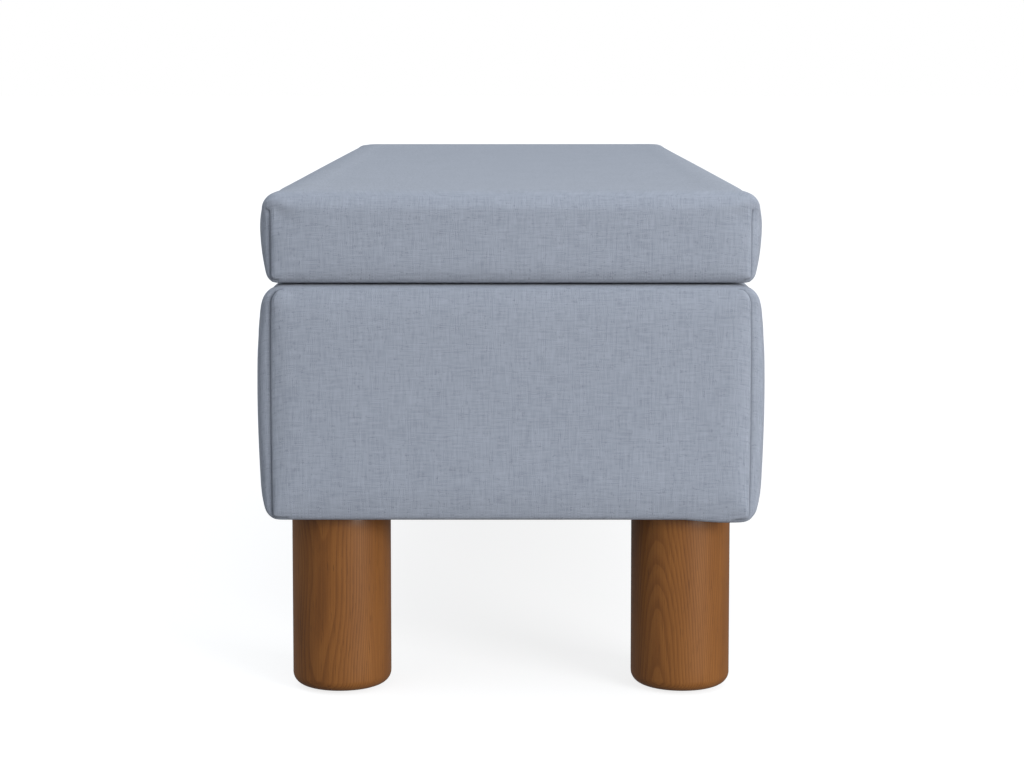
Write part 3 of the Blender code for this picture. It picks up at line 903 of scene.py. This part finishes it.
# %% [markdown]
# ## The legs
#
# Four plain turned cylinders of walnut-stained hardwood under a satin lacquer. The foot is
# rounded generously, so the leg doesn't splinter when the bench is dragged, and the top edge
# is eased. Each leg is modelled on its own as a cylinder whose two rims are bevelled.

# %% Legs
leg_low, leg_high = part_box("leg_front_left")
LEG_RADIUS = (leg_high.x - leg_low.x) / 2
FOOT_ROUND = 0.0105


def turned_leg(name, x, y):
    """A cylinder with a rounded foot and an eased top edge."""
    piece = start(
        name, bpy.ops.mesh.primitive_cylinder_add, vertices=96, radius=LEG_RADIUS,
        depth=leg_high.z - leg_low.z, location=(x, y, (leg_low.z + leg_high.z) / 2),
    )
    edit(piece)
    for height, size, steps in ((leg_low.z, FOOT_ROUND, 10), (leg_high.z, 1.0 * MM, 2)):
        pick("EDGE", lambda e: abs(middle_of(e).z - height) < 0.1 * MM and not runs(e, 2))
        bpy.ops.mesh.bevel(offset=size, offset_type="OFFSET", segments=steps, affect="EDGES")
    pick("FACE", lambda f: len(f.verts) > 4)
    bpy.ops.mesh.inset(thickness=0.010)
    pick("EDGE", lambda e: runs(e, 2, 0.05))
    bpy.ops.mesh.subdivide(number_cuts=12)
    done(piece, smooth=False)
    only(piece)
    bpy.ops.object.shade_smooth_by_angle(angle=math.radians(35))
    return piece


legs = {}
for node in sorted(n for n in nodes if n.startswith("leg_")):
    low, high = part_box(node)
    leg = turned_leg(f"turned_{node}", (low.x + high.x) / 2, (low.y + high.y) / 2)
    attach(leg, "box")
    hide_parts(node)
    legs[node] = leg
print("legs:", list(legs), "triangles each", triangles(leg))

# %% [markdown]
# ## Walnut stain under lacquer
#
# A board is a stack of yearly rings. Where a turned face runs along them they show as fine
# upright lines, and where it grazes them they open into long pointed arches. The rings are
# therefore slices through one big distorted stack that runs through the leg. Fine fibres and
# short dark pores lie along the grain, and the stain takes deeper in the late wood.

# %% Walnut


def walnut():
    finish = Finish("walnut_stain", Coat_Weight=0.18, Coat_Roughness=0.2, Specular_IOR_Level=0.32)
    x, y, z = finish.place()
    bend = finish.noise(x, y, z * 0.45, scale=7.0, detail=1.0) - 0.5
    wave = finish.noise(x * 2.0, y * 2.0, z * 0.35, scale=30.0, detail=2.0) - 0.5
    depth = x * 0.93 - y * 0.37 + z * 0.02 + bend * 0.060 + wave * 0.0022
    rings = (depth * 520.0).part()
    late = rings.between(0.25, 0.9) * (1 - rings.between(0.9, 1.0))
    fibre = finish.noise(x * 70, y * 70, z, scale=14.0, detail=4.0, roughness=0.7)
    pore = finish.noise(x * 45, y * 45, z * 1.4, scale=40.0, detail=1.0)
    pores = pore.between(0.66, 0.74)
    band = finish.noise(x, y, z * 0.12, scale=48.0, detail=2.0)
    cloud = finish.noise(x, y, z * 0.5, scale=16.0, detail=3.0)
    shade = late * 0.26 + (fibre - 0.5) * 0.8 + (band - 0.5) * 0.55 + (cloud - 0.5) * 0.6 + 0.42
    pale = (0.345, 0.138, 0.033, 1)
    middle = (0.236, 0.087, 0.020, 1)
    dark = (0.098, 0.033, 0.009, 1)
    colour = finish.mix(shade.between(0.0, 0.7), pale, middle)
    colour = finish.mix(shade.between(0.5, 1.3), colour, dark)
    colour = finish.mix(pores * 0.5, colour, (0.045, 0.016, 0.007, 1))
    finish.feed(
        colour,
        0.42 + shade * 0.08 - pores * 0.05, 1 - pores * 0.7 - late * 0.15 + fibre * 0.1, 0.08 * MM, 0.6,
    )
    return finish


walnut_finish = walnut()
walnut_finish.put_on(*legs.values())

# %% [markdown]
# ## Linings
#
# Three sheets of cloth finish the inside: a lining that covers the walls and floor of the
# storage space, one stapled under the lid's board, and a thin black cover under the bottom.
# Each is stretched flat, so what shows that it's cloth is a faint ripple between its staples.
# The middle surface is modelled, and Solidify then gives the cloth its thickness.

# %% Sheets
LINING = 0.5 * MM


def ripple(place, along, slack):
    """A small lift of stretched cloth, different from place to place but always the same."""
    wave = math.sin(place.x * 71 + along * 37) * math.sin(place.y * 83 + along * 11 + place.z * 59)
    return slack * (0.6 * wave + 0.4 * math.sin(place.x * 29 - place.y * 47 + place.z * 31))


def flat_sheet(name, half_x, half_y, z, slack):
    """A sheet stretched level, made of squares of about 8 mm."""
    piece = start(
        name, bpy.ops.mesh.primitive_grid_add, size=1, location=(0, 0, z),
        x_subdivisions=round(2 * half_x / SQUARE), y_subdivisions=round(2 * half_y / SQUARE),
    )
    edit(piece)
    bpy.ops.mesh.select_all(action="SELECT")
    bpy.ops.transform.resize(value=(2 * half_x, 2 * half_y, 1), center_override=(0, 0, z))
    done(piece)
    for vertex in piece.data.vertices:
        place = vertex.co
        edge = min(half_x - abs(place.x), half_y - abs(place.y))
        place.z += ripple(place, z, slack) * min(1, edge / 0.02)
    return piece


def finish_sheet(piece, top):
    """Smooth a sheet, lay it out as cloth and give it its thickness."""
    only(piece)
    bpy.ops.object.shade_smooth()
    area = sum(face.area for face in piece.data.polygons)
    lay_out_cloth(piece, top)
    apply(piece, "SOLIDIFY", thickness=LINING, offset=0)
    print(piece.name, "covers", round(area, 4), "square metres, triangles", triangles(piece))


lining_low, lining_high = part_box("lid_lining")
LINING_X = lining_high.x - 1.5 * MM
LINING_Y = lining_high.y - 1.5 * MM
lid_lining = flat_sheet(
    "lid_lining_cloth", LINING_X, LINING_Y,
    (lining_low.z + lining_high.z) / 2 + 0.2 * MM, 0.2 * MM,
)
finish_sheet(lid_lining, TOP)
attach(lid_lining, "lid")
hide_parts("lid_lining")

cover_low, cover_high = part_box("dust_cover")
dust_cover = flat_sheet(
    "dust_cover_cloth", cover_high.x, cover_high.y, (cover_low.z + cover_high.z) / 2, 0.2 * MM
)
bolt_low, bolt_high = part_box("hanger_bolt_front_left")
BOLT_X = abs(bolt_low.x + bolt_high.x) / 2
BOLT_Y = abs(bolt_low.y + bolt_high.y) / 2
BOLT_HOLE = 0.009


def over_bolt(face):
    place = face.calc_center_median()
    return abs(abs(place.x) - BOLT_X) < BOLT_HOLE and abs(abs(place.y) - BOLT_Y) < BOLT_HOLE


edit(dust_cover)
holes = pick("FACE", over_bolt)
bpy.ops.mesh.delete(type="FACE")
done(dust_cover)
print("squares cut out for the four bolts:", holes)
finish_sheet(dust_cover, RIM)
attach(dust_cover, "box")
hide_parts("dust_cover")

tray_low, tray_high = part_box("storage_lining")
TRAY_X = tray_high.x - 0.45 * MM
TRAY_Y = tray_high.y - 0.45 * MM
TRAY_LOW = tray_low.z + 0.45 * MM
storage_lining = cube(
    "storage_lining_cloth", (-TRAY_X, -TRAY_Y, TRAY_LOW), (TRAY_X, TRAY_Y, tray_high.z)
)
edit(storage_lining)
pick("FACE", lambda f: f.normal.z > 0.99)
bpy.ops.mesh.delete(type="FACE")
pick("EDGE", lambda e: not e.is_boundary)
bpy.ops.mesh.bevel(offset=0.004, segments=2, affect="EDGES")
for axis, least in ((0, 1.0), (1, 0.3), (2, 0.1)):
    cut_squares(axis, least, SQUARE)
bpy.ops.mesh.select_all(action="SELECT")
bpy.ops.mesh.normals_make_consistent(inside=True)
done(storage_lining)
for vertex in storage_lining.data.vertices:
    place = vertex.co
    share = min(1, (tray_high.z - place.z) / 0.03)
    if abs(place.x) > TRAY_X - 0.1 * MM:
        place.x += ripple(place, 1, 0.1 * MM) * share
    elif abs(place.y) > TRAY_Y - 0.1 * MM:
        place.y -= math.copysign(abs(ripple(place, 2, 0.7 * MM)), place.y) * share
    elif place.z < TRAY_LOW + 0.1 * MM:
        place.z += abs(ripple(place, 3, 0.6 * MM))
finish_sheet(storage_lining, RIM)
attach(storage_lining, "box")
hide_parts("storage_lining")
WALL = tray_high.z - TRAY_LOW
tray_flat = (2 * (TRAY_Y + WALL), 2 * (TRAY_X + WALL))
tray_cut = tray_flat[0] * tray_flat[1] - 4 * WALL * WALL
print("storage lining is cut to", [round(v, 3) for v in tray_flat], "area", round(tray_cut, 4))

# %% [markdown]
# The two linings share one finish, a tight plain weave in a warm grey. The cover under the box is
# black felted fleece: short fibres that lie every way, so its pattern is a fine noise.

# %% Lining finishes
lining_cloth = weave(
    "lining_cloth", (0.150, 0.148, 0.145, 1), (0.290, 0.285, 0.275, 1), thread=0.7 * MM,
    contrast=0.8, slub=0.3, relief=0.08 * MM, Sheen_Weight=0.1, Specular_IOR_Level=0.2,
)
lining_cloth.put_on(lid_lining, storage_lining)


def fleece():
    finish = Finish("black_fleece", Specular_IOR_Level=0.2)
    x, y, z = finish.place()
    fibre = finish.noise(x, y * 0.25, z, scale=900.0, detail=3.0)
    cross = finish.noise(x * 0.25, y, z, scale=900.0, detail=3.0)
    blotch = finish.noise(x, y, z, scale=40.0, detail=3.0)
    tone = (fibre + cross) * 0.35 + blotch * 0.3
    colour = finish.mix(tone.between(0.35, 0.65), (0.010, 0.010, 0.011, 1), (0.050, 0.050, 0.054, 1))
    finish.feed(colour, 0.85 + tone * 0.1, tone, 0.15 * MM)
    return finish


fleece().put_on(dust_cover)

# %% [markdown]
# ## Screws and staples
#
# Small fixings make the frame read as a real one. A screw is a low disc with a cross cut into
# it, and a staple is a rounded bar. Each is modelled once at the origin, facing up, and every
# other one is a copy of its mesh, turned and moved to its place, and all on one body are
# joined.

# %% Fixings
UP = (0, 0, 1)
DOWN = (0, 0, -1)
SCREW_STEP = 0.027


def screw_head():
    """A flat countersunk head, 6 mm wide, with a cross recess."""
    head = start(
        "screw", bpy.ops.mesh.primitive_cylinder_add, vertices=24, radius=3.0 * MM,
        depth=0.8 * MM, location=(0, 0, -0.25 * MM),
    )
    edit(head)
    pick("EDGE", lambda e: middle_of(e).z > 0 and not runs(e, 2))
    bpy.ops.mesh.bevel(offset=0.12 * MM, segments=2, affect="EDGES")
    done(head, smooth=False)
    long = 1.7 * MM
    short = 0.35 * MM
    deep = 0.45 * MM
    for half in ((long, short), (short, long)):
        cutter = cube("cross", (-half[0], -half[1], -deep), (half[0], half[1], 1 * MM))
        apply(head, "BOOLEAN", object=cutter, operation="DIFFERENCE", solver="EXACT")
        bpy.data.objects.remove(cutter)
    return head


def staple_back():
    """The visible back of a 10 mm staple."""
    back = cube("staple", (-5 * MM, -0.6 * MM, -0.2 * MM), (5 * MM, 0.6 * MM, 0.35 * MM))
    edit(back)
    pick("EDGE", lambda e: middle_of(e).z > 0.3 * MM)
    bpy.ops.mesh.bevel(offset=0.2 * MM, segments=1, affect="EDGES")
    return done(back, smooth=False)


def place_all(source, name, places):
    """Copies of a piece at each place, turned so that it faces along a direction."""
    made = []
    for point, facing, spin in places:
        turn = Vector(facing).to_track_quat("Z", "Y").to_matrix().to_4x4()
        copy = source.copy()
        copy.data = source.data.copy()
        scene.collection.objects.link(copy)
        copy.data.transform(Matrix.Translation(point) @ turn @ Matrix.Rotation(spin, 4, "Z"))
        made.append(copy)
    only(made[0])
    for copy in made:
        copy.select_set(True)
    bpy.ops.object.join()
    made[0].name = name
    made[0].data.name = name
    print(name, "has", len(places), "fixings")
    return made[0]


STAPLE_STEP = 0.055
STAPLE_INSET = 0.006
SLANT = 0.12


def round_outline(high, z):
    """Places for staples round a rectangle, facing down, each lying along its side."""
    half_x = high.x - STAPLE_INSET
    half_y = high.y - STAPLE_INSET
    found = []
    count_x = round(2 * half_x / STAPLE_STEP)
    count_y = round(2 * half_y / STAPLE_STEP)
    for side in (-1, 1):
        for i in range(count_x):
            x = (i + 0.5) / count_x * 2 * half_x - half_x
            found.append(((x, side * half_y, z), DOWN, random.uniform(-SLANT, SLANT)))
        for i in range(count_y):
            y = (i + 0.5) / count_y * 2 * half_y - half_y
            turn = math.pi / 2 + random.uniform(-SLANT, SLANT)
            found.append(((side * half_x, y, z), DOWN, turn))
    return found


random.seed(7)
screw = screw_head()
staple = staple_back()
LEAF_Y = (hinges[0][0].y + hinges[0][1].y) / 2 - 2.2 * MM
box_places = []
lid_places = []
for x in hinge_x:
    for step in (-SCREW_STEP, 0, SCREW_STEP):
        spin = random.uniform(0, math.pi)
        box_places.append(((x + step, LEAF_Y, frame_high.z + 1.8 * MM), UP, spin))
        lid_places.append(((x + step, LEAF_Y, board_low.z - 1.8 * MM), DOWN, spin + 0.7))
for side, name in ((-1, "left"), (1, "right")):
    low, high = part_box(f"stay_{name}_box_bracket")
    inner = low.x if side > 0 else high.x
    for across in (-0.013, 0.013):
        y = (low.y + high.y) / 2 + across
        box_places.append(((inner, y, low.z + 0.008), (-side, 0, 0), 0.4 + across * 40))
    low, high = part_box(f"stay_{name}_lid_bracket")
    inner = low.x if side > 0 else high.x
    for across in (-0.011, 0.011):
        y = (low.y + high.y) / 2 + across
        lid_places.append(((inner + side * 0.010, y, high.z - 2 * MM), DOWN, 0.9 + across * 40))
box_screws = place_all(screw, "box_screws", box_places)
lid_screws = place_all(screw, "lid_screws", lid_places)
lid_staples = place_all(
    staple, "lid_staples", round_outline(lining_high, lining_low.z + 0.5 * MM)
)
cover_staples = place_all(
    staple, "cover_staples", round_outline(cover_high, cover_low.z + 0.25 * MM)
)
for piece in (screw, staple):
    bpy.data.objects.remove(piece)
for piece, body in (
    (box_screws, "box"), (lid_screws, "lid"), (lid_staples, "lid"), (cover_staples, "box"),
):
    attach(piece, body)

# %% [markdown]
# ## Finishes for the hard parts
#
# The frame's own solids keep their shape and only get a finish each. Plywood is a stack of
# thin veneers, so a slice across the stack shows light and dark stripes at its edges, while its
# faces, which lie along one veneer, show a broad grain. The stack's direction is the panel's
# thinnest one.

# %% Timber


def plywood(name, axis, start_at):
    """Veneers 2.1 mm thick, stacked along one axis from the panel's face."""
    finish = Finish(name, Specular_IOR_Level=0.3)
    place = finish.place()
    stack = place[axis]
    along, across = [place[i] for i in range(3) if i != axis]
    veneer = (stack - start_at) / (2.1 * MM)
    number = veneer.whole()
    cross = (number * 0.5).part() * 2
    seam = (veneer.part() - 0.5).between(0.40, 0.5)
    grain = finish.noise(along * 2.0, across * 30.0, number, scale=9.0, detail=4.0)
    figure = finish.noise(along * 0.7, across * 5.0, number * 3.0, scale=9.0)
    rings = (figure * 9.0 + grain * 0.6).part()
    fleck = finish.noise(along * 12.0, across * 90.0, stack, scale=14.0)
    shade = grain * 0.5 + rings * 0.35 + fleck.between(0.6, 0.75) * 0.35 + cross * 0.35
    colour = finish.mix(shade.between(0.2, 1.3), (0.640, 0.455, 0.260, 1), (0.350, 0.205, 0.095, 1))
    colour = finish.mix(seam * 0.5, colour, (0.110, 0.060, 0.030, 1))
    finish.feed(colour, 0.62 + grain * 0.2, grain + rings * 0.3, 0.06 * MM)
    return finish


def pine(name):
    """Softwood: wide rings seen along their length, and a knot here and there."""
    finish = Finish(name, Specular_IOR_Level=0.3)
    x, y, z = finish.place()
    bend = finish.noise(x * 0.3, y, z, scale=14.0, detail=2.0) - 0.5
    depth = y * 0.9 + z * 0.5 + bend * 0.02
    rings = (depth * 230.0).part()
    late = rings.between(0.45, 0.95) * (1 - rings.between(0.95, 1.0))
    fibre = finish.noise(x * 12, y * 120, z * 120, scale=9.0, detail=3.0)
    knot = finish.noise(x, y * 1.6, z * 1.6, scale=19.0).between(0.72, 0.80)
    shade = late * 0.6 + fibre * 0.35 + knot * 0.8
    colour = finish.mix(shade.between(0.1, 1.3), (0.700, 0.500, 0.275, 1), (0.330, 0.160, 0.060, 1))
    finish.feed(colour, 0.6 + fibre * 0.15, 1 - late * 0.5 + fibre * 0.5, 0.08 * MM)
    return finish


panels = {
    0: ("left_end_panel", "right_end_panel"), 1: ("front_panel", "rear_panel"),
    2: ("bottom_panel", "storage_floor", "lid_board"),
}
for axis, names in panels.items():
    for name in names:
        low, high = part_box(name)
        plywood(f"plywood_{name}", axis, low[axis] - 0.2 * MM).put_on(nodes[name])
pine("pine").put_on(*[nodes[n] for n in nodes if n.startswith(("corner_block", "floor_batten"))])

# %% [markdown]
# Zinc-plated steel is a soft grey metal with faint rolling lines and cloudy crystals in its
# coating. The bumpers are matt black rubber and the glides under the legs are tough pale nylon,
# scuffed by the floor.

# %% Metal, rubber and nylon


def zinc(name, tint):
    finish = Finish(name, Metallic=1.0)
    x, y, z = finish.place()
    crystal = finish.noise(x, y, z, scale=160.0, detail=3.0)
    rolled = finish.noise(x * 20, y * 900, z * 900, scale=3.0, detail=2.0)
    stain = finish.noise(x, y, z, scale=28.0, detail=4.0).between(0.50, 0.75)
    pale = tuple(0.68 * c for c in tint) + (1,)
    dull = tuple(0.46 * c for c in tint) + (1,)
    finish.feed(
        finish.mix(crystal * 0.5 + stain * 0.5, pale, dull),
        0.30 + crystal * 0.12 + stain * 0.12, rolled + crystal * 0.4, 0.02 * MM,
    )
    return finish


def moulded(name, dark, pale, rough, grain):
    """Moulded rubber or nylon: a fine grain, faint clouds and a few scuffs."""
    finish = Finish(name, Specular_IOR_Level=0.35)
    x, y, z = finish.place()
    fine = finish.noise(x, y, z, scale=grain, detail=3.0)
    cloud = finish.noise(x, y, z, scale=90.0, detail=3.0)
    scuff = finish.noise(x * 12, y, z, scale=120.0, detail=2.0).between(0.60, 0.70)
    finish.feed(
        finish.mix((fine * 0.4 + cloud * 0.6).between(0.3, 0.7), dark, pale),
        rough + scuff * 0.2 + fine * 0.1, fine + scuff * 0.6, 0.04 * MM,
    )
    return finish


steel = zinc("zinc_steel", (1.0, 1.0, 1.02))
STEEL_PARTS = ("hinge_", "stay_", "hanger_bolt", "tee_nut")
steel.put_on(*[nodes[n] for n in nodes if n.startswith(STEEL_PARTS)])
steel.put_on(box_screws, lid_screws, lid_staples, cover_staples)
rubber = moulded("rubber", (0.012, 0.012, 0.013, 1), (0.035, 0.035, 0.037, 1), 0.6, 1500.0)
rubber.put_on(*[nodes[n] for n in nodes if n.startswith("bumper")])
nylon = moulded("nylon", (0.60, 0.58, 0.52, 1), (0.74, 0.72, 0.66, 1), 0.42, 900.0)
nylon.put_on(*[nodes[n] for n in nodes if n.startswith("glide")])
plain = [n for n, o in nodes.items() if not o.hide_render and not o.data.materials[0].use_nodes]
print("shown solids without a finish of their own:", plain)
